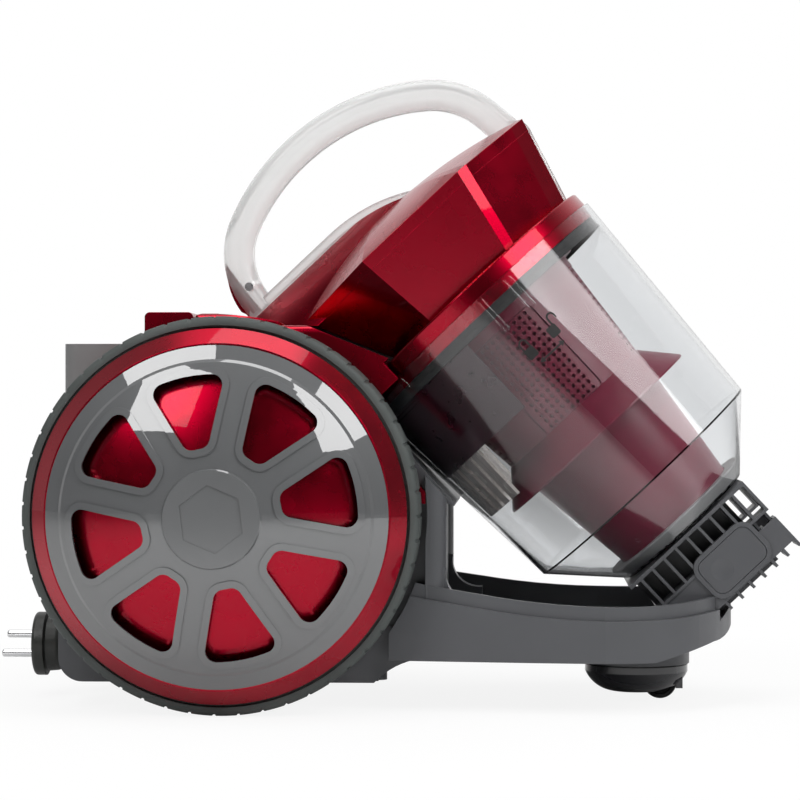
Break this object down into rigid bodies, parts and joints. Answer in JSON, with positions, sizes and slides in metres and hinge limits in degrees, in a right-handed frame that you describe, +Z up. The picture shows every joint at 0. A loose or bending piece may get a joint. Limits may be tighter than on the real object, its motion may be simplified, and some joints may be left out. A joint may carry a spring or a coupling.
{
  "type": "canister vacuum cleaner",
  "caption": "Bagless canister vacuum cleaner: large domed wheels, leaning clear dust cup with cyclone insert, faceted lid, arched clear handle and front hose socket.",
  "frame": {"origin": "on the floor below the middle of the cleaner, with the plug and its neck left out of the middle", "axes": "+X is the nose (hose inlet end), +Y the left side, +Z up"},
  "size_m": [0.4739, 0.296, 0.3694],
  "materials": {
    "tyre": "matte",
    "red_gloss": "high gloss",
    "cover_grey": "gloss",
    "chassis_grey": "satin",
    "post_grey": "matte",
    "black_plastic": "matte",
    "dark_gloss": "gloss",
    "clear_cup": "clear",
    "clear_handle": "clear",
    "insert_red": "satin",
    "screen": "satin",
    "smoky": "smoky",
    "soft_black": "matte",
    "filter_white": "matte",
    "foam": "open cell foam",
    "steel": "brushed",
    "chrome": "bright",
    "motor_steel": "zinc plated",
    "plug_grey": "satin"
  },
  "bodies": {
    "base": {"axle_clips": "steel", "base_screws": "steel", "chassis": "chassis_grey", "cord_boot": "soft_black", "cradle": "chassis_grey", "exhaust_filter": "foam", "front_motor_mount": "soft_black", "hose_inlet": "chassis_grey", "inlet_seal": "soft_black", "left_axle": "steel", "motor_casing": "motor_steel", "motor_stator": "motor_steel", "plug_body": "plug_grey", "plug_pins": "chrome", "port_seal": "soft_black", "power_switch": "black_plastic", "rear_bracket": "post_grey", "rear_motor_mount": "soft_black", "reel_axle": "steel", "reel_spring": "steel", "right_axle": "steel", "upper_housing": "red_gloss"},
    "right_wheel": {"right_tyre": "tyre", "right_wheel_disc": "red_gloss", "right_wheel_cover": "cover_grey"},
    "left_wheel": {"left_tyre": "tyre", "left_wheel_disc": "red_gloss", "left_wheel_cover": "cover_grey"},
    "caster_swivel": {"caster_fork": "dark_gloss", "caster_axle": "steel"},
    "caster_wheel": {"caster_roller": "black_plastic"},
    "power_pedal": {"power_pedal": "red_gloss"},
    "rewind_pedal": {"rewind_pedal": "red_gloss"},
    "right_button": {"right_hose_button": "chassis_grey"},
    "left_button": {"left_hose_button": "chassis_grey"},
    "container": {"cup_collar": "red_gloss", "insert_flange": "insert_red", "cup_seal": "soft_black", "grille_frame": "insert_red", "grille_screens": "screen", "separator_skirt": "insert_red", "inlet_tube": "insert_red", "inlet_guide": "insert_red", "inlet_deflector": "smoky", "head_shell": "red_gloss", "lid": "red_gloss", "handle": "clear_handle", "handle_screw": "steel", "hepa_filter": "filter_white", "filter_frame": "insert_red", "foam_filter": "foam"},
    "cup": {"dust_cup": "clear_cup", "cup_base_ring": "post_grey"},
    "reel": {"cord_reel": "black_plastic", "wound_cord": "soft_black"},
    "rotor": {"motor_rotor": "steel", "fan_impeller": "steel"}
  },
  "joints": [
    {"name": "right_wheel_spin", "type": "hinge", "parent": "base", "child": "right_wheel", "pos_m": [-0.1095, 0, 0.1125], "axis": [0, 1, 0], "continuous": true},
    {"name": "left_wheel_spin", "type": "hinge", "parent": "base", "child": "left_wheel", "pos_m": [-0.1095, 0, 0.1125], "axis": [0, 1, 0], "continuous": true},
    {"name": "caster_turn", "type": "hinge", "parent": "base", "child": "caster_swivel", "pos_m": [0.128, 0, 0.03], "axis": [0, 0, 1], "continuous": true},
    {"name": "caster_roll", "type": "hinge", "parent": "caster_swivel", "child": "caster_wheel", "pos_m": [0.142, 0, 0.01], "axis": [0, 1, 0], "continuous": true},
    {"name": "power_pedal_press", "type": "slide", "parent": "base", "child": "power_pedal", "axis": [0, 0, -1], "range_m": [0, 0.004], "stiffness_N_per_m": 900, "springref_m": -0.002},
    {"name": "rewind_pedal_press", "type": "slide", "parent": "base", "child": "rewind_pedal", "axis": [0, 0, -1], "range_m": [0, 0.004], "stiffness_N_per_m": 900, "springref_m": -0.002},
    {"name": "right_button_press", "type": "slide", "parent": "base", "child": "right_button", "axis": [0, 1, 0], "range_m": [0, 0.003], "stiffness_N_per_m": 700, "springref_m": -0.002},
    {"name": "left_button_press", "type": "slide", "parent": "base", "child": "left_button", "axis": [0, -1, 0], "range_m": [0, 0.003], "stiffness_N_per_m": 700, "springref_m": -0.002},
    {"name": "container_lift", "type": "slide", "parent": "base", "child": "container", "axis": [0.729, 0, 0.6845], "range_m": [0, 0.09]},
    {"name": "cup_twist", "type": "hinge", "parent": "container", "child": "cup", "pos_m": [0.0394, 0, 0.2272], "axis": [-0.6845, 0, 0.729], "range_deg": [0, 18]},
    {"name": "reel_spin", "type": "hinge", "parent": "base", "child": "reel", "pos_m": [-0.146, 0, 0.045], "axis": [0, 0, 1], "continuous": true},
    {"name": "rotor_spin", "type": "hinge", "parent": "base", "child": "rotor", "pos_m": [-0.098, 0, 0.128], "axis": [1, 0, 0], "continuous": true}
  ]
}
